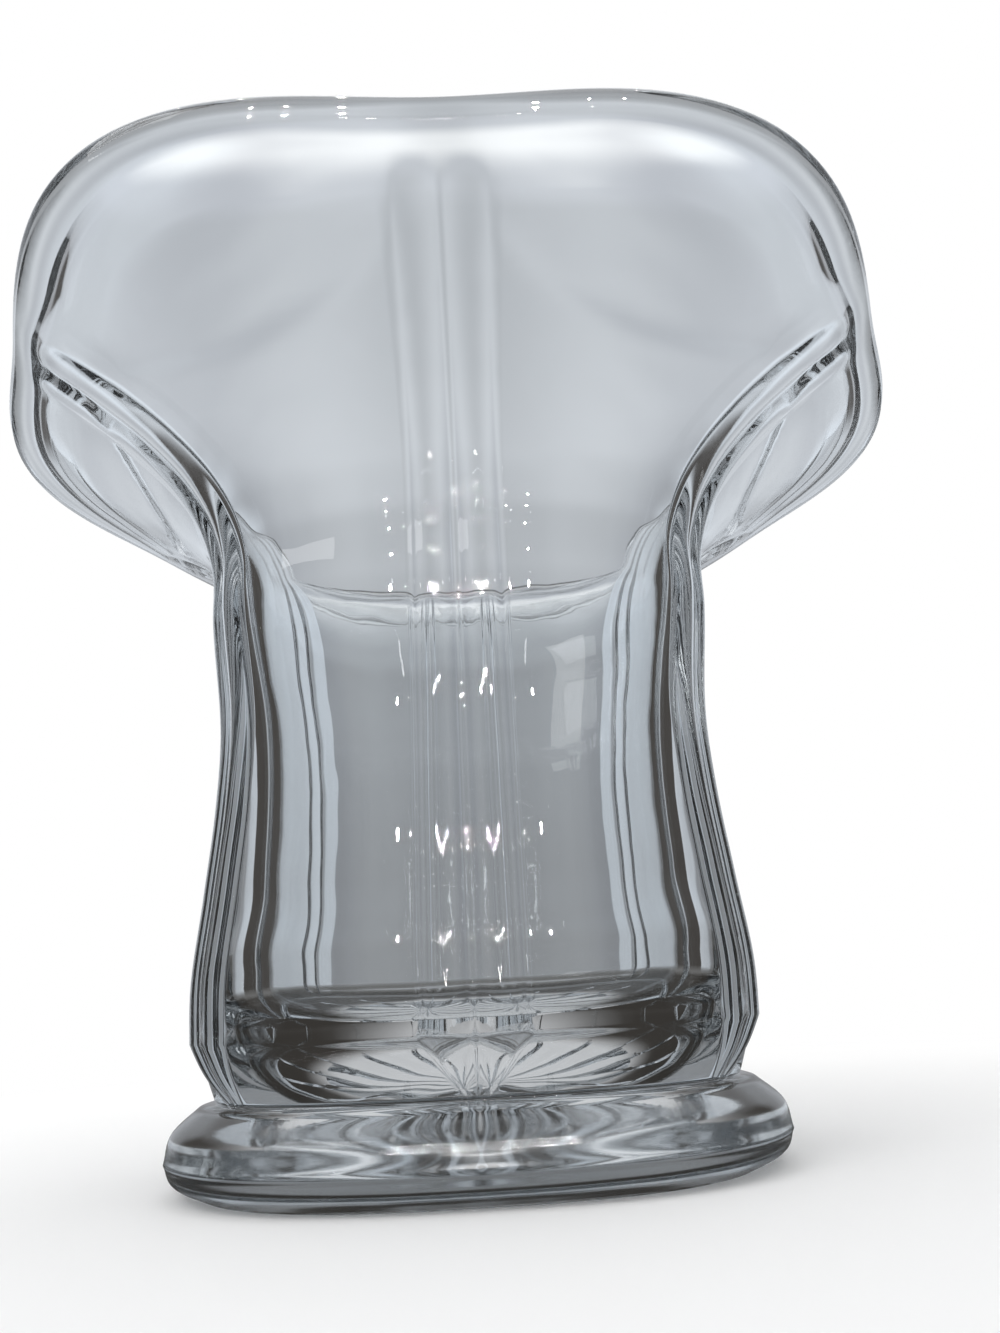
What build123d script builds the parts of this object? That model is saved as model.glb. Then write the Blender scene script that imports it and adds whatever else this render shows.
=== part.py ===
from build123d import *
import math
import os

# Fan vase of clear pressed glass: an oval six-panel body with a ridged pillar between
# every two panels, a wide lobed mouth and a flanged foot with a rayed underside.
# The origin is at the middle of the foot's resting face, +Z is up and the front is -Y.
# On the real vase all of this is one pressing, so the pieces meet face to face.

# Rises between the levels of the vase, from the table up
foot_round_rise = 1.7
foot_edge_rise = 2.9
foot_shoulder_rise = 4.2
waist_rise = 2.8
keel_rise = 4.6
floor_rise = 4.4
bulge_rise = 6.4
lower_body_rise = 15.0
middle_body_rise = 14.0
neck_rise = 12.0
throat_rise = 22.0
flare_rise = 44.2
lip_rise = 3.2
lip_top_rise = 2.6

# Outside widths, measured across the panels at the two narrow ends
foot_bottom_width = 86.4
foot_round_width = 93.6
foot_width = 97.2
foot_shoulder_width = 95.0
foot_top_width = 88.4
waist_width = 85.0
keel_width = 87.6
floor_width = 89.4
bulge_width = 90.2
lower_body_width = 88.2
middle_body_width = 86.2
neck_width = 85.8
throat_width = 90.8
mouth_width = 165.8

# Depth front to back as a share of the width, and how square the oval is
foot_depth_share = 0.85
waist_depth_share = 0.66
keel_depth_share = 0.77
body_depth_share = 0.85
mouth_depth_share = 0.974
body_power_share = 2.6
mouth_power_share = 2.25

# The flare opens slowly at the throat and fast at the mouth, and its ridges end at the lip
flare_power_share = 2.7
swell_power_share = 7.0
ridge_power_share = 12.0
flare_step_shares = (0.26, 0.46, 0.63, 0.77, 0.89, 1.0)

# Glass thickness, measured level in the body and the lip, and square to the flare
floor_wall = 13.0
bulge_wall = 8.4
lower_body_wall = 7.2
middle_body_wall = 6.6
neck_wall = 6.2
throat_wall = 5.8
mouth_wall = 4.6
lip_wall = 6.8
lip_top_wall = 2.0

# Extra thickness at the two narrow ends, because the cavity is rounder than the outside
floor_end_wall = 2.6
bulge_end_wall = 2.6
lower_body_end_wall = 2.4
middle_body_end_wall = 2.2
neck_end_wall = 1.8
throat_end_wall = 1.0

# How far the lip stands out past the mouth on each side, and how far its top draws in
lip_overhang = 0.6
lip_top_draw = 1.4

# Outward swell of the mouth between two pillars
long_side_swell = 5.1
end_swell = 7.1

# Pillars: a pair of half-round ridges side by side
pillar_width = 15.0
pillar_ridge = 1.5
pillar_ridge_at_mouth = 0.25
corner_turn = 62.0
keel_point_width = 3.0
keel_point_ridge = 0.3

# Dished floor of the cavity
dish_depth = 3.6
dish_step_shares = (1.0, 0.85, 0.6, 0.25)

# Rayed hollow under the foot
ray_count = 16
hollow_width = 60.0
hollow_depth = 4.0
hollow_step_shares = (1.0, 0.8, 0.55, 0.25)
ray_notch_share = 0.9

# Points that shape one panel and one pillar back at each level
panel_point_shares = (0.12, 0.25, 0.38, 0.5, 0.62, 0.75, 0.88)
back_point_shares = (0.5,)
settle_rounds = 40

FULL_TURN = 2 * math.pi
RIGHT_TURN = math.pi / 2


class Level:
    """One level outline: an oval, its glass thickness, the mouth's swell and the ridges."""

    def __init__(self, height, width, depth_share, power, wall=0.0, end_wall=0.0,
                 swell_share=0.0, ridge=pillar_ridge, pillar=pillar_width):
        self.height = height
        self.half_width = width / 2
        self.half_depth = width * depth_share / 2
        self.power = power
        self.wall = wall
        self.end_wall = end_wall
        self.swell_share = swell_share
        self.ridge = ridge
        self.half_pillar = pillar / 2

    def radius(self, turn, inside=False):
        """Distance from the axis at a turn from the front, without the pillar ridges."""
        across = abs(math.sin(turn) / self.half_width) ** self.power
        along = abs(math.cos(turn) / self.half_depth) ** self.power
        plain = (across + along) ** (-1 / self.power)
        outside = plain + self.swell_share * swell(turn)
        if not inside:
            return outside
        return outside - self.wall - self.end_wall * math.sin(turn) ** 2

    def place(self, turn, inside=False, lift=0.0):
        """Point of this outline at a turn from the front."""
        reach = self.radius(turn, inside) + lift
        return Vector(reach * math.sin(turn), -reach * math.cos(turn), self.height)

    def turn_beside(self, pillar_turn, offset, inside=False):
        """Turn at which the outline lies at this offset to the side of a pillar's middle."""
        turn = pillar_turn
        for _ in range(settle_rounds):
            turn = pillar_turn + math.asin(offset / self.radius(turn, inside))
        return turn


def swell(turn):
    """Outward swell of the mouth at a turn, zero at each pillar."""
    corner = math.radians(corner_turn)
    fold = abs((turn + math.pi) % FULL_TURN - math.pi)
    fold = min(fold, math.pi - fold)
    if fold < corner:
        return long_side_swell * (1 - math.cos(FULL_TURN * fold / corner)) / 2
    wave = math.cos(math.pi * (fold - corner) / (RIGHT_TURN - corner))
    return end_swell * (1 - wave) / 2


def between(start, end, share):
    """Value at a share of the way from one value to another."""
    return start + (end - start) * share


def flare_level(climb):
    """Level of the flare at a share of the climb from the throat to the rim."""
    opened = climb ** flare_power_share
    spread = (mouth_width - throat_width) / 2
    slope = spread * flare_power_share * climb ** (flare_power_share - 1) / flare_rise
    glass = between(throat_wall, mouth_wall, climb)
    return Level(throat_height + climb * flare_rise,
                 between(throat_width, mouth_width, opened),
                 between(body_depth_share, mouth_depth_share, opened),
                 between(body_power_share, mouth_power_share, opened),
                 wall=glass * math.hypot(1, slope),
                 end_wall=throat_end_wall * (1 - climb) ** 2,
                 swell_share=climb ** swell_power_share,
                 ridge=between(pillar_ridge, pillar_ridge_at_mouth, climb ** ridge_power_share))


# Levels of the vase
edge_height = foot_round_rise + foot_edge_rise
shoulder_height = edge_height + foot_shoulder_rise
waist_height = shoulder_height + waist_rise
keel_height = waist_height + keel_rise
floor_height = keel_height + floor_rise
bulge_height = floor_height + bulge_rise
lower_body_height = bulge_height + lower_body_rise
middle_body_height = lower_body_height + middle_body_rise
neck_height = middle_body_height + neck_rise
throat_height = neck_height + throat_rise
rim_height = throat_height + flare_rise
lip_height = rim_height + lip_rise
vase_height = lip_height + lip_top_rise

body = (body_depth_share, body_power_share)
waist_level = Level(waist_height, waist_width, waist_depth_share, body_power_share,
                    ridge=keel_point_ridge, pillar=keel_point_width)
keel_level = Level(keel_height, keel_width, keel_depth_share, body_power_share,
                   ridge=(pillar_ridge + keel_point_ridge) / 2,
                   pillar=(pillar_width + keel_point_width) / 2)
floor_level = Level(floor_height, floor_width, *body, wall=floor_wall, end_wall=floor_end_wall)
flare_levels = [flare_level(share) for share in flare_step_shares]
rim_level = flare_levels[-1]
wall_levels = (
    floor_level,
    Level(bulge_height, bulge_width, *body, bulge_wall, bulge_end_wall),
    Level(lower_body_height, lower_body_width, *body, lower_body_wall, lower_body_end_wall),
    Level(middle_body_height, middle_body_width, *body, middle_body_wall, middle_body_end_wall),
    Level(neck_height, neck_width, *body, neck_wall, neck_end_wall),
    Level(throat_height, throat_width, *body, throat_wall, throat_end_wall),
    *flare_levels,
)
lip_width = mouth_width + 2 * lip_overhang
lip_top_width = mouth_width - 2 * lip_top_draw
lip_levels = (
    rim_level,
    Level(lip_height, lip_width, mouth_depth_share, mouth_power_share,
          wall=lip_wall, swell_share=1, ridge=pillar_ridge_at_mouth),
    Level(vase_height, lip_top_width, mouth_depth_share, mouth_power_share,
          wall=lip_top_wall, swell_share=1, ridge=pillar_ridge_at_mouth),
)

# Pillars in order round the vase, by turn from the front
corner = math.radians(corner_turn)
pillar_turns = {
    "front_pillar": 0.0,
    "front_right_pillar": corner,
    "back_right_pillar": math.pi - corner,
    "back_pillar": math.pi,
    "back_left_pillar": math.pi + corner,
    "front_left_pillar": FULL_TURN - corner,
}
panel_names = (
    "front_right_panel",
    "right_end_panel",
    "back_right_panel",
    "back_left_panel",
    "left_end_panel",
    "front_left_panel",
)


def run(level, start, end, inside, shares):
    """Curve along an outline from one turn to another."""
    turns = [start] + [start + (end - start) * share for share in shares] + [end]
    return Spline(*[level.place(turn, inside) for turn in turns])


def ridge_arcs(level, turn):
    """The two half-round ridges on the outside of a pillar."""
    arcs = []
    for side in (-1, 0):
        start = level.turn_beside(turn, side * level.half_pillar)
        end = level.turn_beside(turn, (side + 1) * level.half_pillar)
        crown = level.place((start + end) / 2, lift=level.ridge)
        arcs.append(ThreePointArc(level.place(start), crown, level.place(end)))
    return arcs


def panel_turns(level, index, inside=False):
    """Turns at which a panel meets the pillars on its two sides."""
    turns = list(pillar_turns.values()) + [FULL_TURN]
    start = level.turn_beside(turns[index], level.half_pillar, inside)
    end = level.turn_beside(turns[index + 1], -level.half_pillar, inside)
    return start, end


def panel_section(level, index):
    """Level cut through one panel of the wall."""
    outer = run(level, *panel_turns(level, index), False, panel_point_shares)
    inner = run(level, *panel_turns(level, index, True), True, panel_point_shares)
    sides = [Line(outer @ 1, inner @ 1), Line(inner @ 0, outer @ 0)]
    return Wire([outer, sides[0], inner, sides[1]])


def pillar_section(level, turn):
    """Level cut through one pillar of the wall."""
    arcs = ridge_arcs(level, turn)
    start = level.turn_beside(turn, -level.half_pillar, True)
    end = level.turn_beside(turn, level.half_pillar, True)
    inner = run(level, start, end, True, back_point_shares)
    return Wire([*arcs, Line(arcs[1] @ 1, inner @ 1), inner, Line(inner @ 0, arcs[0] @ 0)])


def outside_section(level):
    """Whole outside outline with the pillars on it."""
    edges = []
    for index, turn in enumerate(pillar_turns.values()):
        edges += ridge_arcs(level, turn)
        edges.append(run(level, *panel_turns(level, index), False, panel_point_shares))
    return Wire(edges)


def inside_section(level):
    """Whole inside outline of the wall, split where the pillars stand."""
    edges = []
    for index, turn in enumerate(pillar_turns.values()):
        start = level.turn_beside(turn, -level.half_pillar, True)
        end = level.turn_beside(turn, level.half_pillar, True)
        edges.append(run(level, start, end, True, back_point_shares))
        turns = panel_turns(level, index, True)
        edges.append(run(level, *turns, True, panel_point_shares))
    return Wire(edges)


def oval_section(height, width, depth_share=foot_depth_share):
    """Plain oval outline, for the foot and the dished floor."""
    level = Level(height, width, depth_share, body_power_share)
    steps = 4 * len(panel_point_shares)
    points = [level.place(FULL_TURN * step / steps) for step in range(steps)]
    return Wire([Spline(*points, periodic=True)])


def star_section(width_share):
    """Level cut through the rayed hollow, with a point and a notch for every ray."""
    height = hollow_depth * (1 - width_share ** 2)
    points = []
    for step in range(2 * ray_count):
        reach_share = ray_notch_share if step % 2 else 1
        level = Level(height, hollow_width * width_share * reach_share,
                      foot_depth_share, body_power_share)
        points.append(level.place(FULL_TURN * step / (2 * ray_count)))
    return Wire(Polyline(*points, close=True))


def make_foot():
    """Flanged foot: rounded under, a sharp edge, a sloping top and a rayed hollow below."""
    under = Solid.make_loft([oval_section(0.0, foot_bottom_width),
                             oval_section(foot_round_rise, foot_round_width),
                             oval_section(edge_height, foot_width)])
    upper = Solid.make_loft([oval_section(edge_height, foot_width),
                             oval_section(shoulder_height, foot_shoulder_width),
                             oval_section(waist_height, foot_top_width)])
    hollow = Solid.make_loft([star_section(share) for share in hollow_step_shares], ruled=True)
    return under + upper - hollow


def make_base():
    """Solid block under the cavity, where each pillar runs down to a keel point."""
    block = Solid.make_loft([outside_section(level)
                             for level in (waist_level, keel_level, floor_level)])
    dish_width = floor_width - 2 * (floor_wall + floor_end_wall)
    dish_depth_share = (floor_width * body_depth_share - 2 * floor_wall) / dish_width
    dish = Solid.make_loft([oval_section(floor_height - dish_depth * (1 - share ** 2),
                                         dish_width * share, dish_depth_share)
                            for share in dish_step_shares], ruled=True)
    return block - dish


def make_rim():
    """Rounded lip round the mouth."""
    outer = Solid.make_loft([outside_section(level) for level in lip_levels])
    inner = Solid.make_loft([inside_section(level) for level in lip_levels])
    return outer - inner


os.makedirs("parts", exist_ok=True)
nodes = {"foot": make_foot(), "base": make_base(), "rim_lip": make_rim()}
for index, name in enumerate(panel_names):
    nodes[name] = Solid.make_loft([panel_section(level, index) for level in wall_levels])
for name, turn in pillar_turns.items():
    nodes[name] = Solid.make_loft([pillar_section(level, turn) for level in wall_levels])
for name, shape in nodes.items():
    export_step(shape, f"parts/{name}.step")
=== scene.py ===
"""Fan vase of clear pressed glass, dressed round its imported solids.

Metres, +Z up. The front of the vase faces -Y and its foot rests on z = 0.
"""

import logging
import math
from dataclasses import astuple, dataclass
from enum import Enum

import bmesh
import bpy
from mathutils import Matrix, Vector


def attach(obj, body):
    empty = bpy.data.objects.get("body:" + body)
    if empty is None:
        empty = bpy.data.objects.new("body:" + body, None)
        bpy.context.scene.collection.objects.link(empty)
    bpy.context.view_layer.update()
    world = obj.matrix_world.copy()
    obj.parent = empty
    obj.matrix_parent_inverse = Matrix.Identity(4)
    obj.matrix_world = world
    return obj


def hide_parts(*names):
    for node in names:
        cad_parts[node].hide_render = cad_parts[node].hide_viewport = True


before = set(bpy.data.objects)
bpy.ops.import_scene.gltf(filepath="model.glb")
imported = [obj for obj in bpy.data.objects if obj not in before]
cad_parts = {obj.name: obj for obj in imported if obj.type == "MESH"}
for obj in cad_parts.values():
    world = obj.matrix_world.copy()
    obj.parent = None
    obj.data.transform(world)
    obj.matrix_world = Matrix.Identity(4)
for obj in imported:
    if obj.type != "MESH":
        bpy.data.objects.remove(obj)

log = logging.getLogger("fan_vase")

MM = 0.001
QUARTER = math.pi / 2
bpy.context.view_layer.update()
LIGHT_BOUNCES = 24
WHITE = (1.0, 1.0, 1.0, 1.0)
# Depth over width, and squareness, of the oval that the foot and the body share
OVAL_DEPTH_SHARE = 0.85
OVAL_POWER = 2.6
# Places of the share, the two colours and the result among a Mix node's sockets
MIX_INPUTS = (0, 6, 7)
MIX_RESULT = 2

Point = tuple[float, float, float]
Ring = list[Point]
Colour = tuple[float, float, float]
Stops = tuple[tuple[float, Colour], ...]
Socket = bpy.types.NodeSocket
Value = Socket | float | tuple[float, ...]


class Face(Enum):
    """The two faces of the glass wall."""

    OUTSIDE = "outside"
    INSIDE = "inside"


class Easing(Enum):
    """How a value passes from one end of a range to the other."""

    EVEN = "LINEAR"
    SOFT = "SMOOTHSTEP"


class Blend(Enum):
    """How one colour is laid on another."""

    OVER = "MIX"
    TIMES = "MULTIPLY"


class Sum(Enum):
    """The sums that finishes are worked out with."""

    TIMES = "MULTIPLY"
    TIMES_PLUS = "MULTIPLY_ADD"
    DIVIDED = "DIVIDE"
    LESS = "SUBTRACT"
    WITHOUT_SIGN = "ABSOLUTE"
    LARGER = "MAXIMUM"
    TURN = "ARCTAN2"


def between(start: float, end: float, share: float) -> float:
    """Value at a share of the way from start to end."""
    return start + (end - start) * share


def steps(start: float, end: float, count: int) -> list[float]:
    """Evenly spaced values from start to end, both included."""
    return [between(start, end, step / count) for step in range(count + 1)]


def soft(share: float) -> float:
    """Soft rise from 0 to 1 as the share goes from 0 to 1."""
    share = min(max(share, 0.0), 1.0)
    return share * share * (3 - 2 * share)


def point(turn: float, reach: float, height: float) -> Point:
    """Point at a turn from the front, a reach from the axis and a height."""
    return (reach * math.sin(turn), -reach * math.cos(turn), height)


@dataclass(frozen=True)
class Level:
    """Outline of the glass at one height.

    The plain outline is a squarish oval. The mouth swells out of it between the
    pillars, and each pillar stands on it as a pair of half-round ridges. The wall is
    thicker by end_wall at the two narrow ends, because the cavity is rounder than the
    outside. The climb is how far up the flare of the mouth the level lies, as a share.
    """

    height: float
    half_width: float
    depth_share: float
    power: float
    wall: float = 0.0
    swell_share: float = 0.0
    ridge: float = 0.0
    half_pillar: float = 0.0
    climb: float = 0.0
    end_wall: float = 0.0

    def oval(self, turn: float) -> float:
        """Distance from the axis to the plain oval.

        Args:
            turn: Turn from the front.

        Returns:
            The distance at that turn.
        """
        across = abs(math.sin(turn) / self.half_width) ** self.power
        along = abs(math.cos(turn) / (self.half_width * self.depth_share)) ** self.power
        return (across + along) ** (-1 / self.power)


def level_at(stations: list[Level], height: float) -> Level:
    """Level between stations, on a smooth curve through all of them.

    Args:
        stations: Levels in rising order.
        height: Height of the level wanted.

    Returns:
        The level at that height.
    """
    rows = [astuple(station) for station in stations]
    last = len(rows) - 1
    low = max(i for i in range(last) if i == 0 or rows[i][0] <= height)
    gap = rows[low + 1][0] - rows[low][0]
    t = (height - rows[low][0]) / gap

    def slope(i: int, item: int) -> float:
        """Slope of one value at a station, from the stations beside it.

        Args:
            i: Place of the station among the stations.
            item: Place of the value in its row.

        Returns:
            Change of the value with height.
        """
        before, after = max(i - 1, 0), min(i + 1, last)
        if before == i or after == i:
            return (rows[after][item] - rows[before][item]) / (rows[after][0] - rows[before][0])
        rise_in, rise_out = rows[i][0] - rows[before][0], rows[after][0] - rows[i][0]
        slope_in = (rows[i][item] - rows[before][item]) / rise_in
        slope_out = (rows[after][item] - rows[i][item]) / rise_out
        return (slope_in * rise_out + slope_out * rise_in) / (rise_in + rise_out)

    values = []
    for item in range(1, len(rows[0])):
        a, b = rows[low][item], rows[low + 1][item]
        start, end = slope(low, item) * gap, slope(low + 1, item) * gap
        values.append(a + t * start + t * t * (3 * (b - a) - 2 * start - end)
                      + t ** 3 * (2 * (a - b) + start + end))
    return Level(height, *values)


@dataclass
class Pillars:
    """Ridged pillars between the panels, and the columns of points that follow them.

    Leaf sizes belong to the thicker glass under the lip, and flute sizes to the round
    tops of the ridges. Leaf drop and blend and flute start and end are shares of the
    flare.
    """

    width: float = 15.0 * MM
    ridge: float = 1.5 * MM
    keel_width: float = 3.0 * MM
    keel_ridge: float = 0.3 * MM
    corner_turn: float = math.radians(62.0)
    long_side_swell: float = 5.1 * MM
    end_swell: float = 7.1 * MM
    leaf_drop: float = 0.20
    leaf_blend: float = 0.06
    leaf_rise: float = 1.5 * MM
    leaf_power: float = 0.75
    leaf_lean: float = 1.15
    leaf_taper: float = 0.6
    flute_start: float = 0.90
    flute_end: float = 0.955
    ridge_steps: int = 10
    panel_steps: int = 36
    settle_rounds: int = 20

    @property
    def column_count(self) -> int:
        """Number of columns between the front and the right end."""
        return 3 * self.ridge_steps + self.panel_steps + self.panel_steps // 2

    def swell(self, turn: float) -> float:
        """Outward swell of the full mouth, which is zero at each pillar.

        Args:
            turn: Turn from the front, up to a quarter.

        Returns:
            The swell at that turn.
        """
        if turn < self.corner_turn:
            wave = math.cos(2 * math.pi * turn / self.corner_turn)
            return self.long_side_swell * (1 - wave) / 2
        wave = math.cos(math.pi * (turn - self.corner_turn) / (QUARTER - self.corner_turn))
        return self.end_swell * (1 - wave) / 2

    def leaf(self, climb: float, turn: float) -> float:
        """Extra glass inside each lobe of the mouth, above a leaf-shaped edge.

        Args:
            climb: How far up the flare, as a share.
            turn: Turn from the front, up to a quarter.

        Returns:
            Thickness of the extra glass there.
        """
        if turn < self.corner_turn:
            share = (turn / self.corner_turn) ** self.leaf_lean
        else:
            share = (turn - self.corner_turn) / (QUARTER - self.corner_turn) / 2
        arch = max(math.sin(math.pi * share), 0.0)
        edge = 1 - self.leaf_drop * arch ** self.leaf_power
        aside = min(arch / self.leaf_taper, 1.0)
        return self.leaf_rise * soft((climb - edge) / self.leaf_blend) * soft(aside)

    def radius(self, level: Level, turn: float, face: Face) -> float:
        """Distance from the axis to a face of the glass, without ridges and leaves.

        Args:
            level: The level.
            turn: Turn from the front.
            face: Which face of the wall.

        Returns:
            The distance at that turn.
        """
        outside = level.oval(turn) + level.swell_share * self.swell(abs(turn))
        if face is Face.OUTSIDE:
            return outside
        return outside - level.wall - level.end_wall * math.sin(turn) ** 2

    def turn_beside(self, level: Level, middle: float, offset: float, face: Face) -> float:
        """Turn at which the outline lies beside a pillar's middle.

        Args:
            level: The level.
            middle: Turn of the pillar's middle.
            offset: Distance aside, less than zero towards the front.
            face: Which face of the wall.

        Returns:
            The turn at that distance.
        """
        turn = middle
        for _ in range(self.settle_rounds):
            turn = middle + math.asin(offset / self.radius(level, turn, face))
        return turn

    def ridge_lift(self, level: Level, share: float) -> float:
        """Height of a half-round ridge, less near its round top.

        Args:
            level: The level.
            share: Place across the ridge, as a share of its width.

        Returns:
            How far the ridge stands out there.
        """
        half = level.half_pillar / 2
        bend = (half ** 2 + level.ridge ** 2) / (2 * level.ridge)
        arc = math.sqrt(bend ** 2 - (half * (2 * share - 1)) ** 2) - (bend - level.ridge)
        past = max((level.climb - self.flute_start) / (self.flute_end - self.flute_start), 0.0)
        return max(arc - level.ridge * past ** 2, 0.0)

    def columns(self, level: Level, face: Face) -> list[tuple[float, float]]:
        """Turn and reach of each column of one quarter at a level.

        Args:
            level: The level.
            face: Which face of the wall.

        Returns:
            Turn from the front and distance from the axis, column by column.
        """
        half, corner = level.half_pillar, self.corner_turn
        stops = [0.0,
                 self.turn_beside(level, 0.0, half, face),
                 self.turn_beside(level, corner, -half, face),
                 corner,
                 self.turn_beside(level, corner, half, face),
                 QUARTER]
        counts = [self.ridge_steps, self.panel_steps, self.ridge_steps,
                  self.ridge_steps, self.panel_steps // 2]
        ridged = [True, False, True, True, False]
        found = []
        for index, count in enumerate(counts):
            for step in range(count):
                share = step / count
                turn = between(stops[index], stops[index + 1], share)
                lift = 0.0
                if ridged[index] and face is Face.OUTSIDE:
                    lift = self.ridge_lift(level, share)
                if face is Face.INSIDE:
                    lift = -self.leaf(level.climb, turn)
                found.append((turn, self.radius(level, turn, face) + lift))
        end = self.leaf(level.climb, QUARTER) if face is Face.INSIDE else 0.0
        found.append((QUARTER, self.radius(level, QUARTER, face) - end))
        return found

    def ring(self, level: Level, face: Face) -> Ring:
        """Points of one quarter of a level outline."""
        return [point(turn, reach, level.height) for turn, reach in self.columns(level, face)]

    def rings(self, stations: list[Level], heights: list[float], face: Face) -> list[Ring]:
        """Quarter rings of one face of the wall at the given heights."""
        return [self.ring(level_at(stations, height), face) for height in heights]


@dataclass
class Foot:
    """Flanged foot with a sharp edge, a sloping top and a rayed hollow below.

    The middle of the hollow and the tips of its rays keep a trace of width.
    """

    round_height: float = 1.7 * MM
    edge_height: float = 4.6 * MM
    shoulder_height: float = 8.8 * MM
    top_height: float = 11.6 * MM
    bottom_width: float = 86.4 * MM
    round_width: float = 93.6 * MM
    edge_width: float = 97.2 * MM
    shoulder_width: float = 95.0 * MM
    top_width: float = 88.4 * MM
    depth_share: float = OVAL_DEPTH_SHARE
    power: float = OVAL_POWER
    hollow_depth: float = 2.2 * MM
    hollow_width: float = 56.0 * MM
    middle_width: float = 0.0001 * MM
    ray_count: int = 16
    ray_depth: float = 1.8 * MM
    ray_share: float = 0.8
    ray_tip_width: float = 60.0 * MM
    ray_root_width: float = 26.0 * MM
    ray_tip_share: float = 1e-9
    under_steps: int = 32
    rest_steps: int = 4
    side_steps: int = 10
    top_steps: int = 12

    def level(self, height: float, width: float) -> Level:
        """Plain oval level of the foot."""
        return Level(height, width / 2, self.depth_share, self.power)

    def hollow_rise(self, turn: float, width: float) -> float:
        """Height of the underside: a dome with a groove for every ray.

        Args:
            turn: Turn from the front.
            width: Width of the oval on which the place lies.

        Returns:
            Height of the place above the resting face.
        """
        dome = self.hollow_depth * max(0.0, 1 - (width / self.hollow_width) ** 2)
        ray = 2 * math.pi / self.ray_count
        aside = 2 * abs((turn / ray + 0.5) % 1 - 0.5) / self.ray_share
        if width <= self.ray_root_width:
            return dome + self.ray_depth * (1 - min(aside, 1.0) ** 2 * width / self.ray_root_width)
        along = (width - self.ray_root_width) / (self.ray_tip_width - self.ray_root_width)
        span = math.sqrt(max(1 - along ** 2, self.ray_tip_share))
        return dome + self.ray_depth * max(0.0, 1 - (aside / span) ** 2)

    def under_rings(self, count: int) -> list[Ring]:
        """Rings of the underside, from its middle out to the resting edge.

        Args:
            count: Number of columns in a quarter.

        Returns:
            The rings in that order.
        """
        turns = steps(0.0, QUARTER, count)
        widths = steps(0.0, self.ray_tip_width, self.under_steps)
        widths += steps(self.ray_tip_width, self.bottom_width, self.rest_steps)[1:-1]
        rings = []
        for width in widths:
            level = self.level(0.0, max(width, self.middle_width))
            rings.append([point(turn, level.oval(turn), self.hollow_rise(turn, width))
                          for turn in turns])
        return rings

    def side_rings(self, waist_turns: list[float]) -> list[Ring]:
        """Rings from the resting edge over the sharp edge to the waist.

        Args:
            waist_turns: Turns of the columns where the body starts.

        Returns:
            Rings whose columns slide from even spacing to those turns.
        """
        under = [self.level(0.0, self.bottom_width),
                 self.level(self.round_height, self.round_width),
                 self.level(self.edge_height, self.edge_width)]
        upper = [self.level(self.edge_height, self.edge_width),
                 self.level(self.shoulder_height, self.shoulder_width),
                 self.level(self.top_height, self.top_width)]
        levels = [level_at(under, height)
                  for height in steps(0.0, self.edge_height, self.side_steps)]
        levels += [level_at(upper, height)
                   for height in steps(self.edge_height, self.top_height, self.top_steps)[1:]]
        even = steps(0.0, QUARTER, len(waist_turns) - 1)
        rings = []
        for level in levels:
            share = level.height / self.top_height
            turns = [between(start, end, share) for start, end in zip(even, waist_turns)]
            rings.append([point(turn, level.oval(turn), level.height) for turn in turns])
        return rings


@dataclass(frozen=True)
class Station:
    """Width and walls of the body at one of its heights."""

    height: float
    width: float
    wall: float = 0.0
    end_wall: float = 0.0


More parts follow.
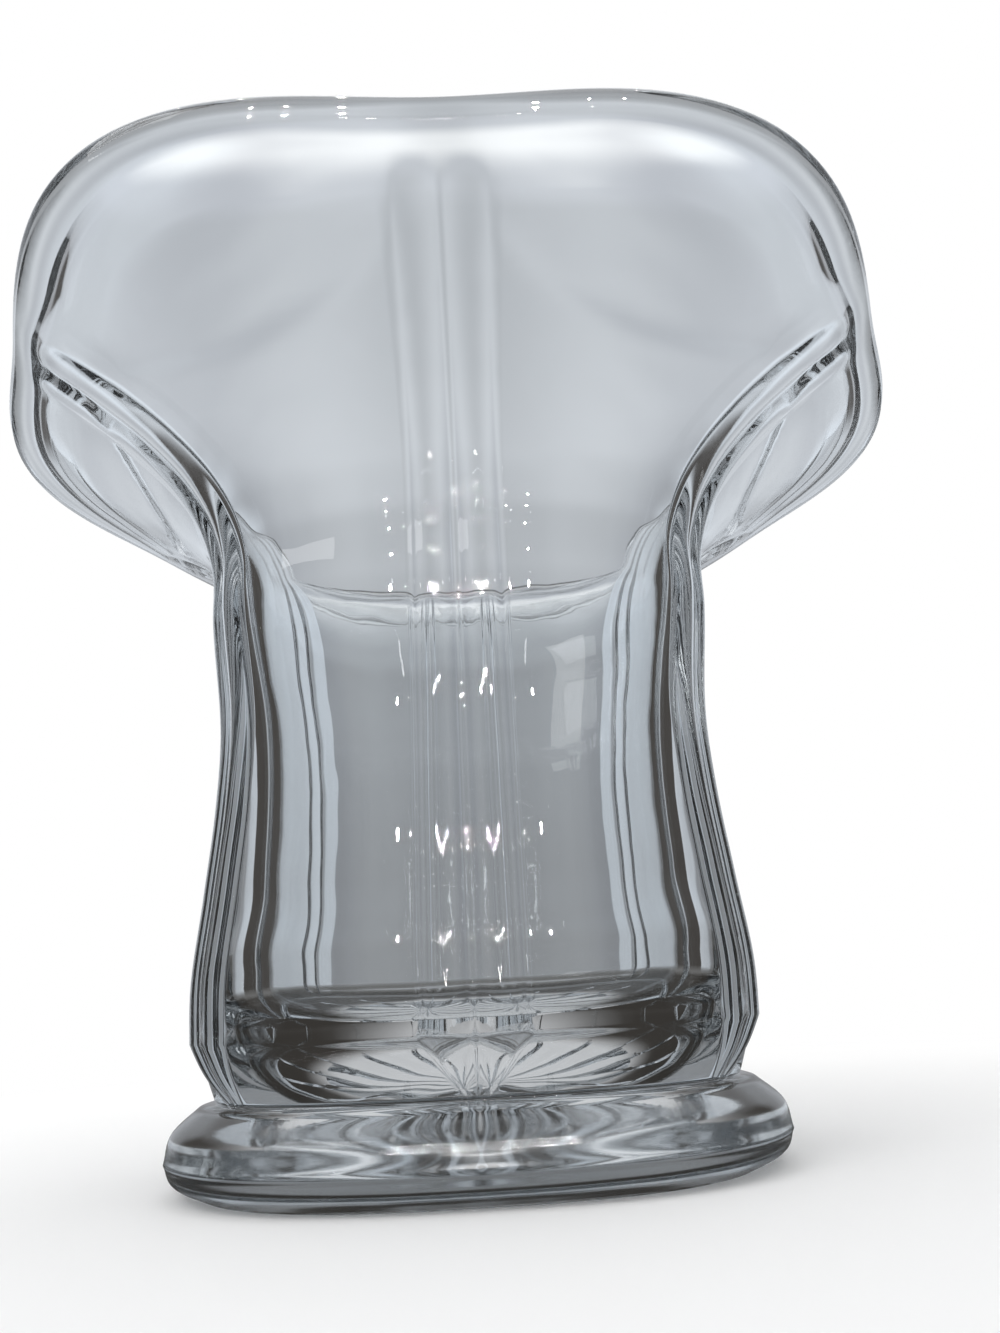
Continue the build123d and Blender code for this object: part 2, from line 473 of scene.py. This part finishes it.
@dataclass
class Body:
    """Oval panelled body on its solid base, from the waist up to the throat.

    The rounded bottom of the cavity keeps a trace of width in its middle.
    """

    waist: Station = Station(Foot.top_height, 85.0 * MM)
    keel: Station = Station(16.2 * MM, 87.6 * MM)
    floor: Station = Station(20.6 * MM, 89.4 * MM, 13.0 * MM, 2.6 * MM)
    bulge: Station = Station(27.0 * MM, 90.2 * MM, 8.4 * MM, 2.6 * MM)
    lower: Station = Station(42.0 * MM, 88.2 * MM, 7.2 * MM, 2.4 * MM)
    middle: Station = Station(56.0 * MM, 86.2 * MM, 6.6 * MM, 2.2 * MM)
    neck: Station = Station(68.0 * MM, 85.8 * MM, 6.2 * MM, 1.8 * MM)
    throat: Station = Station(90.0 * MM, 90.8 * MM, 5.8 * MM, 1.0 * MM)
    waist_depth_share: float = 0.66
    keel_depth_share: float = 0.77
    depth_share: float = OVAL_DEPTH_SHARE
    power: float = OVAL_POWER
    bowl_top: float = 30.0 * MM
    bowl_bottom: float = 17.0 * MM
    bowl_power: float = 2.8
    bowl_tip_share: float = 1e-6
    base_steps: int = 12
    outside_steps: int = 40
    inside_steps: int = 40
    bowl_steps: int = 24

    def base_stations(self, pillars: Pillars) -> list[Level]:
        """Levels of the solid base, where each pillar runs down to a keel point."""
        return [
            Level(self.waist.height, self.waist.width / 2, self.waist_depth_share, self.power,
                  ridge=pillars.keel_ridge, half_pillar=pillars.keel_width / 2),
            Level(self.keel.height, self.keel.width / 2, self.keel_depth_share, self.power,
                  ridge=(pillars.ridge + pillars.keel_ridge) / 2,
                  half_pillar=(pillars.width + pillars.keel_width) / 4),
            self.wall_level(self.floor, pillars),
        ]

    def bowl_rings(self, edge: Ring) -> list[Ring]:
        """Rings of the rounded cavity bottom, in from its edge to its middle.

        Args:
            edge: Ring of the cavity wall where the bottom starts.

        Returns:
            The rings in that order.
        """
        rings = []
        for bend in steps(0.0, QUARTER, self.bowl_steps)[1:]:
            share = max(math.cos(bend), self.bowl_tip_share) ** (2 / self.bowl_power)
            drop = math.sin(bend) ** (2 / self.bowl_power)
            height = between(self.bowl_top, self.bowl_bottom, drop)
            rings.append([(x * share, y * share, height) for x, y, _ in edge])
        return rings

    def wall_level(self, station: Station, pillars: Pillars) -> Level:
        """Level of the hollow body at a station."""
        return Level(station.height, station.width / 2, self.depth_share, self.power,
                     wall=station.wall, ridge=pillars.ridge, half_pillar=pillars.width / 2,
                     end_wall=station.end_wall)

    def wall_stations(self, pillars: Pillars) -> list[Level]:
        """Levels of the hollow body up to the throat."""
        stations = (self.floor, self.bulge, self.lower, self.middle, self.neck, self.throat)
        return [self.wall_level(station, pillars) for station in stations]


@dataclass
class Mouth:
    """Flared mouth in six lobes with a rounded lip."""

    rise: float = 44.2 * MM
    width: float = 165.8 * MM
    depth_share: float = 0.974
    power: float = 2.25
    wall: float = 4.6 * MM
    open_power: float = 2.7
    swell_power: float = 7.0
    lip_rise: float = 3.2 * MM
    lip_top_rise: float = 2.6 * MM
    lip_overhang: float = 0.6 * MM
    lip_top_draw: float = 1.4 * MM
    lip_wall: float = 6.8 * MM
    lip_top_wall: float = 2.0 * MM
    station_shares: tuple[float, ...] = (0.26, 0.46, 0.63, 0.77, 0.89, 1.0)
    outside_steps: int = 44
    inside_steps: int = 56
    lip_steps: int = 10

    def flare_stations(self, throat: Level, pillars: Pillars) -> list[Level]:
        """Levels of the flare above the throat, up to the rim.

        Args:
            throat: Level on which the flare starts.
            pillars: Pillars that run up the flare.

        Returns:
            The levels in rising order.
        """
        found = []
        spread = self.width / 2 - throat.half_width
        for climb in self.station_shares:
            opened = climb ** self.open_power
            slope = spread * self.open_power * climb ** (self.open_power - 1) / self.rise
            glass = between(throat.wall, self.wall, climb)
            found.append(Level(
                throat.height + climb * self.rise,
                throat.half_width + spread * opened,
                between(throat.depth_share, self.depth_share, opened),
                between(throat.power, self.power, opened),
                wall=glass * math.hypot(1, slope),
                swell_share=climb ** self.swell_power,
                ridge=pillars.ridge,
                half_pillar=pillars.width / 2,
                climb=climb,
                end_wall=throat.end_wall * (1 - climb) ** 2))
        return found

    def lip_stations(self, rim: Level) -> list[Level]:
        """Levels of the lip above the rim.

        Args:
            rim: Level at the top of the flare.

        Returns:
            The rim and the levels over it, in rising order.
        """
        shape = (self.depth_share, self.power)
        trim = {"swell_share": 1.0, "ridge": rim.ridge, "half_pillar": rim.half_pillar,
                "climb": 1.0}
        lip = rim.height + self.lip_rise
        return [rim,
                Level(lip, self.width / 2 + self.lip_overhang, *shape,
                      wall=self.lip_wall, **trim),
                Level(lip + self.lip_top_rise, self.width / 2 - self.lip_top_draw, *shape,
                      wall=self.lip_top_wall, **trim)]


@dataclass(frozen=True)
class NodeBench:
    """Node tree of one finish, with short ways to add to it."""

    tree: bpy.types.NodeTree

    @classmethod
    def cleared(cls, owner: bpy.types.Material | bpy.types.World) -> "NodeBench":
        """Bench for a new material or world, without the nodes that it came with."""
        owner.use_nodes = True
        owner.node_tree.nodes.clear()
        return cls(owner.node_tree)

    def feed(self, end: Socket, value: Value) -> None:
        """Link a socket to an input, or set the input to a value.

        Args:
            end: The input.
            value: Socket to link to it, or its value.
        """
        if isinstance(value, bpy.types.NodeSocket):
            self.tree.links.new(value, end)
        else:
            end.default_value = value

    def new(self, kind: str, inputs: dict[str, Value] | None = None) -> bpy.types.Node:
        """New node with some of its inputs fed.

        Args:
            kind: Type of the node, without the word ShaderNode before it.
            inputs: Socket or value for each input, by the input's name.

        Returns:
            The node.
        """
        node = self.tree.nodes.new(f"ShaderNode{kind}")
        for name, value in (inputs or {}).items():
            self.feed(node.inputs[name], value)
        return node

    def reckon(self, kind: Sum, *values: Value) -> Socket:
        """Result of one sum.

        Args:
            kind: Which sum.
            values: Sockets or numbers that go into it.

        Returns:
            Socket with the result.
        """
        node = self.new("Math")
        node.operation = kind.value
        for end, value in zip(node.inputs, values):
            self.feed(end, value)
        return node.outputs["Value"]

    def length(self, vector: Socket) -> Socket:
        """Socket with the length of a vector."""
        node = self.new("VectorMath")
        node.operation = "LENGTH"
        self.feed(node.inputs[0], vector)
        return node.outputs["Value"]

    def fade(self, value: Socket, start: float, end: float, easing: Easing) -> Socket:
        """Socket that passes from 0 to 1 as a value goes from start to end.

        Args:
            value: The value.
            start: Where the result is still 0.
            end: Where the result has become 1.
            easing: How it passes.

        Returns:
            Socket with the result.
        """
        node = self.new("MapRange", {"Value": value, "From Min": start, "From Max": end})
        node.interpolation_type = easing.value
        return node.outputs["Result"]

    def ramp(self, share: Socket, stops: Stops) -> Socket:
        """Colour on a ramp.

        Args:
            share: Place on the ramp.
            stops: Places and colours that the ramp runs through.

        Returns:
            Socket with the colour.
        """
        node = self.new("ValToRGB", {"Fac": share})
        node.color_ramp.interpolation = "EASE"
        elements = node.color_ramp.elements
        for place, _ in stops[len(elements):]:
            elements.new(place)
        for element, (place, colour) in zip(elements, stops):
            element.position = place
            element.color = (*colour, 1.0)
        return node.outputs["Color"]

    def mix_colours(self, share: Value, first: Value, second: Value, blend: Blend) -> Socket:
        """One colour laid on another.

        Args:
            share: How much the second colour counts.
            first: Colour below.
            second: Colour laid on it.
            blend: How it is laid on.

        Returns:
            Socket with the colour.
        """
        node = self.new("Mix")
        node.data_type = "RGBA"
        node.blend_type = blend.value
        for index, value in zip(MIX_INPUTS, (share, first, second)):
            self.feed(node.inputs[index], value)
        return node.outputs[MIX_RESULT]

    def mix_shaders(self, share: Socket, first: Socket, second: Socket) -> Socket:
        """Socket that passes from a first shader to a second as the share rises."""
        node = self.new("MixShader")
        for end, value in zip(node.inputs, (share, first, second)):
            self.feed(end, value)
        return node.outputs["Shader"]

    def glass_rays(self) -> Socket:
        """Socket that is 1 for rays that come off or through the glass."""
        path = self.new("LightPath").outputs
        return self.reckon(Sum.LARGER, path["Is Glossy Ray"], path["Is Transmission Ray"])


@dataclass(frozen=True)
class PressedGlass:
    """Clear pressed glass with a faint grey cast and a foot whose edge is worn dull.

    Its surface has the fine rings of chill marks, a soft waviness and a little haze.
    """

    colour: tuple[float, float, float, float] = (0.93, 0.95, 0.96, 1.0)
    cast: tuple[float, float, float, float] = (0.60, 0.62, 0.63, 1.0)
    cast_density: float = 20.0
    ior: float = 1.5
    smooth: float = 0.0
    hazed: float = 0.03
    haze_start: float = 0.35
    haze_end: float = 0.75
    worn: float = 0.12
    worn_height: float = 11.4 * MM
    worn_reach: float = 42.0 * MM
    worn_blend: float = 1.5 * MM
    foot_depth_share: float = OVAL_DEPTH_SHARE
    wave_scale: float = 45.0
    wave_detail: float = 1.0
    wave_strength: float = 0.05
    wave_depth: float = 0.6 * MM
    chill_scale: float = 38.0
    chill_distortion: float = 4.0
    chill_detail: float = 2.0
    chill_detail_scale: float = 1.5
    chill_strength: float = 0.16
    chill_depth: float = 0.25 * MM

    def material(self) -> bpy.types.Material:
        """Make the glass.

        Returns:
            The finished material.
        """
        made = bpy.data.materials.new("pressed_glass")
        bench = NodeBench.cleared(made)
        place = bench.new("TexCoord").outputs["Object"]
        wave = bench.new("TexNoise", {
            "Vector": place, "Scale": self.wave_scale, "Detail": self.wave_detail})
        wave_bump = bench.new("Bump", {
            "Strength": self.wave_strength, "Distance": self.wave_depth,
            "Height": wave.outputs["Fac"]})
        chill = bench.new("TexWave", {
            "Vector": place, "Scale": self.chill_scale, "Distortion": self.chill_distortion,
            "Detail": self.chill_detail, "Detail Scale": self.chill_detail_scale})
        chill.wave_type = "RINGS"
        chill.rings_direction = "Z"
        chill_bump = bench.new("Bump", {
            "Strength": self.chill_strength, "Distance": self.chill_depth,
            "Height": chill.outputs["Fac"], "Normal": wave_bump.outputs["Normal"]})
        haze = bench.new("MapRange", {
            "Value": wave.outputs["Fac"], "From Min": self.haze_start, "From Max": self.haze_end,
            "To Min": self.smooth, "To Max": self.hazed})
        shader = bench.new("BsdfPrincipled", {
            "Base Color": self.colour, "Transmission Weight": 1.0, "IOR": self.ior,
            "Roughness": self.wear(bench, place, haze.outputs["Result"]),
            "Normal": chill_bump.outputs["Normal"]})
        depth = bench.new("VolumeAbsorption", {
            "Color": self.cast, "Density": self.cast_density})
        bench.new("OutputMaterial", {
            "Surface": shader.outputs["BSDF"], "Volume": depth.outputs["Volume"]})
        return made

    def wear(self, bench: NodeBench, place: Socket, haze: Socket) -> Socket:
        """Roughness of the glass, with the edge of the foot worn dull.

        Args:
            bench: Node bench of the glass.
            place: Object coordinates of the glass.
            haze: Roughness away from the foot.

        Returns:
            Socket with the roughness everywhere.
        """
        round_foot = bench.new("VectorMath")
        round_foot.operation = "MULTIPLY"
        bench.feed(round_foot.inputs[0], place)
        bench.feed(round_foot.inputs[1], (1.0, 1 / self.foot_depth_share, 0.0))
        reach = bench.length(round_foot.outputs["Vector"])
        height = bench.new("SeparateXYZ", {"Vector": place}).outputs["Z"]
        low = bench.fade(height, self.worn_height, self.worn_height - self.worn_blend,
                         Easing.EVEN)
        outer = bench.fade(reach, self.worn_reach - self.worn_blend, self.worn_reach,
                           Easing.EVEN)
        edge = bench.reckon(Sum.TIMES, low, outer)
        return bench.reckon(Sum.TIMES_PLUS, edge, self.worn, haze)


@dataclass
class FanVase:
    """The whole vase: one closed skin of glass over foot, body, mouth and cavity."""

    foot: Foot
    body: Body
    mouth: Mouth
    pillars: Pillars
    finish: PressedGlass
    quarter_margin: float = 0.02 * MM
    mirror_merge: float = 0.01 * MM
    seam_merge: float = 0.002 * MM

    def rings(self) -> list[Ring]:
        """Rings of one quarter of the skin.

        Returns:
            The rings from the underside up over the lip and down to the cavity floor.
        """
        base = self.body.base_stations(self.pillars)
        wall = self.body.wall_stations(self.pillars)
        wall += self.mouth.flare_stations(wall[-1], self.pillars)
        lip = self.mouth.lip_stations(wall[-1])
        waist, floor = self.body.waist.height, self.body.floor.height
        throat, rim = self.body.throat.height, wall[-1].height
        waist_turns = [turn for turn, _ in self.pillars.columns(base[0], Face.OUTSIDE)]
        base_heights = steps(waist, floor, self.body.base_steps)[:-1]
        outside_heights = steps(floor, throat, self.body.outside_steps)[:-1]
        outside_heights += steps(throat, rim, self.mouth.outside_steps)[:-1]
        lip_heights = steps(rim, lip[-1].height, self.mouth.lip_steps)
        inside_heights = steps(rim, throat, self.mouth.inside_steps)[1:-1]
        inside_heights += steps(throat, self.body.bowl_top, self.body.inside_steps)

        rings = self.foot.under_rings(self.pillars.column_count)
        rings += self.foot.side_rings(waist_turns)
        rings += self.pillars.rings(base, base_heights, Face.OUTSIDE)
        rings += self.pillars.rings(wall, outside_heights, Face.OUTSIDE)
        rings += self.pillars.rings(lip, lip_heights, Face.OUTSIDE)
        rings += self.pillars.rings(lip, lip_heights[::-1], Face.INSIDE)
        rings += self.pillars.rings(wall, inside_heights, Face.INSIDE)
        return rings + self.body.bowl_rings(rings[-1])

    def build(self) -> bpy.types.Object:
        """Draw the quarter ring by ring, mirror it and close it.

        Returns:
            The vase as one closed mesh at the origin.
        """
        rings = self.rings()
        vase = self.start(rings[0])
        self.draw(vase, rings)
        self.close(vase)
        return vase

    def start(self, ring: Ring) -> bpy.types.Object:
        """Add a circle, keep its front right quarter and lay that on the first ring.

        Args:
            ring: The first ring.

        Returns:
            The vase, in edit mode, with the ring selected.
        """
        bpy.ops.object.select_all(action="DESELECT")
        bpy.ops.mesh.primitive_circle_add(
            vertices=4 * self.pillars.column_count, radius=self.foot.ray_root_width / 2)
        vase = bpy.context.object
        vase.name = vase.data.name = "glass_vase"
        bpy.ops.object.mode_set(mode="EDIT")
        bpy.ops.mesh.select_mode(type="VERT")
        skin = bmesh.from_edit_mesh(vase.data)
        for vertex in skin.verts:
            vertex.select_set(vertex.co.x < -self.quarter_margin
                              or vertex.co.y > self.quarter_margin)
        skin.select_flush_mode()
        bmesh.update_edit_mesh(vase.data)
        bpy.ops.mesh.delete(type="VERT")
        skin = bmesh.from_edit_mesh(vase.data)
        column = skin.verts.layers.int.new("column")
        order = sorted(skin.verts, key=lambda v: math.atan2(v.co.x, -v.co.y))
        for index, vertex in enumerate(order):
            vertex[column] = index
            vertex.co = ring[index]
        bpy.ops.mesh.select_all(action="SELECT")
        return vase

    def draw(self, vase: bpy.types.Object, rings: list[Ring]) -> None:
        """Extrude the first ring through all the others.

        Args:
            vase: The vase, in edit mode, with the first ring selected.
            rings: All the rings.
        """
        for below, ring in zip(rings, rings[1:]):
            rise = ring[0][2] - below[0][2]
            bpy.ops.mesh.extrude_region_move(TRANSFORM_OT_translate={"value": (0, 0, rise)})
            skin = bmesh.from_edit_mesh(vase.data)
            column = skin.verts.layers.int["column"]
            for vertex in skin.verts:
                if vertex.select:
                    vertex.co = ring[vertex[column]]
        bmesh.update_edit_mesh(vase.data)
        bpy.ops.object.mode_set(mode="OBJECT")

    def close(self, vase: bpy.types.Object) -> None:
        """Mirror the quarter all round, join its seams and smooth it.

        Args:
            vase: The quarter of the vase.
        """
        mirror = vase.modifiers.new("all_round", "MIRROR")
        mirror.use_axis = (True, True, False)
        mirror.merge_threshold = self.mirror_merge
        bpy.ops.object.modifier_apply(modifier=mirror.name)
        bpy.ops.object.mode_set(mode="EDIT")
        bpy.ops.mesh.select_all(action="SELECT")
        bpy.ops.mesh.remove_doubles(threshold=self.seam_merge)
        bpy.ops.mesh.normals_make_consistent(inside=False)
        bpy.ops.mesh.select_all(action="DESELECT")
        bpy.ops.object.mode_set(mode="OBJECT")
        bpy.ops.object.shade_smooth()

    def dress(self, vase: bpy.types.Object) -> None:
        """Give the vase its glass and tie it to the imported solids.

        Args:
            vase: The finished mesh of the vase.
        """
        vase.data.materials.clear()
        vase.data.materials.append(self.finish.material())
        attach(vase, "root")
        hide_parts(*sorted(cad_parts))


@dataclass
class PaleFloor:
    """Plain pale floor that keeps the shadow and fades into the white background.

    Rays that come off or through the glass see a glowing ground there instead, which ends a
    little way out. Its tone, which goes by the distance from the vase, is painted light and
    shade: a painted glow under the middle for light that comes down through the glass, a
    painted shadow in a dark ring under and round the foot, and a mid grey farther out.
    """

    colour: Colour = (0.95, 0.95, 0.95)
    reach: float = 2.0
    sides: int = 96
    fade_start: float = 0.11
    fade_end: float = 0.34
    painted_glow_reach: float = 0.35
    # Painted light and shade of the glowing ground that the glass sees, by distance from the vase:
    # a bright painted glow under the middle, a dark painted shadow under and round the foot, then
    # a mid grey
    painted_shade_glow_stops: Stops = (
        (0.0, (0.75, 0.75, 0.76)), (0.07, (0.75, 0.75, 0.76)),
        (0.10, (0.055, 0.05, 0.045)), (0.22, (0.05, 0.045, 0.04)),
        (0.36, (0.18, 0.175, 0.17)), (1.0, (0.30, 0.30, 0.30)))
    painted_glow_fade_start: float = 0.10
    painted_glow_fade_end: float = 0.22

    def build(self) -> None:
        """Lay the floor."""
        bpy.ops.object.select_all(action="DESELECT")
        bpy.ops.mesh.primitive_circle_add(vertices=self.sides, radius=self.reach,
                                          fill_type="NGON")
        floor = bpy.context.object
        floor.name = "floor"
        floor.data.materials.append(self.material())

    def material(self) -> bpy.types.Material:
        """Make the finish of the floor.

        Returns:
            The finished material.
        """
        made = bpy.data.materials.new("pale_floor")
        bench = NodeBench.cleared(made)
        reach = bench.length(bench.new("TexCoord").outputs["Object"])
        camera_rays = bench.new("LightPath").outputs["Is Camera Ray"]
        far = bench.fade(reach, self.fade_start, self.fade_end, Easing.SOFT)
        matte = bench.new("BsdfDiffuse", {"Color": (*self.colour, 1.0)})
        white = bench.new("Emission", {"Color": WHITE})
        pale = bench.mix_shaders(bench.reckon(Sum.TIMES, far, camera_rays),
                                 matte.outputs["BSDF"], white.outputs["Emission"])
        away = bench.reckon(Sum.DIVIDED, reach, self.painted_glow_reach)
        # The ground seen by the glass is an emission that glows with painted light and shade
        # instead of being lit
        painted_glow_ground = bench.new("Emission", {"Color": bench.ramp(away, self.painted_shade_glow_stops)})
        beyond = bench.new("BsdfTransparent")
        gone = bench.fade(reach, self.painted_glow_fade_start, self.painted_glow_fade_end, Easing.SOFT)
        seen = bench.mix_shaders(gone, painted_glow_ground.outputs["Emission"], beyond.outputs["BSDF"])
        bench.new("OutputMaterial", {
            "Surface": bench.mix_shaders(bench.glass_rays(), pale, seen)})
        return made


@dataclass
class Surroundings:
    """White background that the glass sees as grey surroundings with dark strips.

    The strips are ramps by the half turn from the back: low ones round the height of
    the vase, and high ones well above and below it. The rise shades them by height.
    """

    low_stops: Stops = (
        (0.0, (0.58, 0.59, 0.60)), (0.06, (0.66, 0.67, 0.68)), (0.11, (0.56, 0.57, 0.59)),
        (0.15, (1.05, 1.10, 1.15)), (0.26, (1.10, 1.15, 1.20)),
        (0.33, (0.12, 0.11, 0.10)), (0.56, (0.12, 0.11, 0.10)),
        (0.60, (0.35, 0.36, 0.37)), (0.65, (0.35, 0.36, 0.37)),
        (0.69, (0.07, 0.06, 0.055)), (0.80, (0.07, 0.06, 0.055)),
        (0.83, (0.3, 0.3, 0.3)), (0.86, (0.3, 0.3, 0.3)),
        (0.89, (0.07, 0.06, 0.055)), (1.0, (0.07, 0.06, 0.055)))
    high_stops: Stops = (
        (0.0, (0.72, 0.73, 0.74)), (0.06, (0.86, 0.87, 0.88)), (0.12, (0.72, 0.73, 0.75)),
        (0.20, (0.88, 0.90, 0.92)), (0.30, (0.92, 0.94, 0.97)), (0.40, (0.70, 0.71, 0.73)),
        (0.60, (0.62, 0.63, 0.65)), (0.75, (0.42, 0.42, 0.43)), (1.0, (0.50, 0.50, 0.51)))
    blend_middle: float = 0.10
    blend_start: float = 0.32
    blend_end: float = 0.46
    rise_stops: Stops = (
        (0.0, (0.60, 0.60, 0.61)), (0.30, (0.68, 0.69, 0.71)), (0.46, (0.84, 0.86, 0.89)),
        (0.72, (0.74, 0.76, 0.79)), (0.80, (0.82, 0.84, 0.88)), (0.87, (1.35, 1.35, 1.35)),
        (0.97, (1.35, 1.35, 1.35)), (0.99, (1.0, 1.0, 1.0)), (1.0, (0.95, 0.96, 0.97)))

    def build(self) -> None:
        """Make the surroundings and give them to the scene."""
        world = bpy.data.worlds.new("studio")
        bpy.context.scene.world = world
        bench = NodeBench.cleared(world)
        place = bench.new("TexCoord").outputs["Generated"]
        way = bench.new("SeparateXYZ", {"Vector": place}).outputs
        turn = bench.reckon(Sum.WITHOUT_SIGN, bench.reckon(Sum.TURN, way["X"], way["Y"]))
        half_turns = bench.reckon(Sum.DIVIDED, turn, math.pi)
        low = bench.ramp(half_turns, self.low_stops)
        high = bench.ramp(half_turns, self.high_stops)
        above = bench.reckon(Sum.LESS, way["Z"], self.blend_middle)
        steep = bench.fade(bench.reckon(Sum.WITHOUT_SIGN, above), self.blend_start,
                           self.blend_end, Easing.SOFT)
        around = bench.mix_colours(steep, low, high, Blend.OVER)
        rise = bench.ramp(way["Z"], self.rise_stops)
        grey = bench.mix_colours(1.0, around, rise, Blend.TIMES)
        seen = bench.mix_colours(bench.glass_rays(), WHITE, grey, Blend.OVER)
        back = bench.new("Background", {"Color": seen})
        bench.new("OutputWorld", {"Surface": back.outputs["Background"]})


@dataclass(frozen=True)
class SparkRow:
    """Row of small lamps across the front, by its place along Y, height and spread."""

    along: float
    height: float
    spread: float
    power: float


@dataclass
class Lamps:
    """A soft lamp, and rows of small ones that only sparkle in the glass."""

    aim: Point = (0.0, 0.0, 0.07)
    soft_place: Point = (-0.6, -0.5, 0.7)
    soft_size: float = 0.5
    soft_power: float = 2.0
    spark_rows: tuple[SparkRow, ...] = (
        SparkRow(-0.30, 0.02, 0.02, 0.008), SparkRow(-0.45, 0.10, 0.12, 0.10),
        SparkRow(-0.45, 0.17, 0.12, 0.10), SparkRow(-0.45, 0.26, 0.12, 0.10),
        SparkRow(-0.1, 0.8, 0.3, 0.15))
    spark_count: int = 6
    spark_width: float = 4.0 * MM
    spark_height: float = 6.0 * MM
    spark_dip: float = 20.0 * MM

    def build(self) -> None:
        """Hang all the lamps."""
        self.hang("soft_left", self.soft_place, self.soft_size, self.soft_power)
        for number, row in enumerate(self.spark_rows):
            for index, across in enumerate(steps(-row.spread, row.spread, self.spark_count - 1)):
                height = row.height + self.spark_dip * abs(across) / row.spread
                spark = self.hang(f"spark_{number}_{index}", (across, row.along, height),
                                  self.spark_width, row.power)
                spark.data.shape = "RECTANGLE"
                spark.data.size_y = self.spark_height
                spark.visible_diffuse = False

    def hang(self, name: str, place: Point, size: float, power: float) -> bpy.types.Object:
        """Hang a square lamp that is turned towards the vase.

        Args:
            name: Name of the lamp.
            place: Where it hangs.
            size: Length of its sides.
            power: Its power in watts.

        Returns:
            The lamp.
        """
        lamp = bpy.data.lights.new(name, "AREA")
        lamp.size = size
        lamp.energy = power
        holder = bpy.data.objects.new(name, lamp)
        bpy.context.scene.collection.objects.link(holder)
        holder.location = place
        way = Vector(self.aim) - Vector(place)
        holder.rotation_euler = way.to_track_quat("-Z", "Y").to_euler()
        return holder


@dataclass
class PhotoCamera:
    """Camera low and close in front, tilted up, as in the photograph."""

    stand_off: float = 166.6 * MM
    eye_height: float = 23.0 * MM
    orbit: float = math.radians(0.7)
    pan: float = math.radians(-2.45)
    tilt: float = math.radians(20.92)
    roll: float = math.radians(-3.15)
    focal_px: float = 900.0
    image_height_px: float = 1333.0
    sensor: float = 36.0
    near_clip: float = 1.0 * MM

    def build(self) -> None:
        """Set up the camera and give it to the scene."""
        camera = bpy.data.cameras.new("camera")
        camera.sensor_width = self.sensor
        camera.lens = self.sensor * self.focal_px / self.image_height_px
        camera.clip_start = self.near_clip
        holder = bpy.data.objects.new("camera", camera)
        bpy.context.scene.collection.objects.link(holder)
        turn = (Matrix.Rotation(self.pan, 4, "Z")
                @ Matrix.Rotation(QUARTER + self.tilt, 4, "X")
                @ Matrix.Rotation(self.roll, 4, "Z"))
        holder.matrix_world = (Matrix.Rotation(self.orbit, 4, "Z")
                               @ Matrix.Translation((0, -self.stand_off, self.eye_height))
                               @ turn)
        bpy.context.scene.camera = holder


def main() -> None:
    """Build the vase and what it is shown in, and log how many faces the vase has."""
    logging.basicConfig(level=logging.INFO, format="%(name)s: %(message)s")
    scene = bpy.context.scene
    scene.view_settings.view_transform = "Standard"
    scene.cycles.max_bounces = LIGHT_BOUNCES
    scene.cycles.transmission_bounces = LIGHT_BOUNCES
    scene.cycles.glossy_bounces = LIGHT_BOUNCES
    vase = FanVase(Foot(), Body(), Mouth(), Pillars(), PressedGlass())
    glass = vase.build()
    vase.dress(glass)
    log.info("%s: %d faces", glass.name, len(glass.data.polygons))
    for setting in (PaleFloor(), Surroundings(), Lamps(), PhotoCamera()):
        setting.build()


if __name__ == "__main__":
    main()
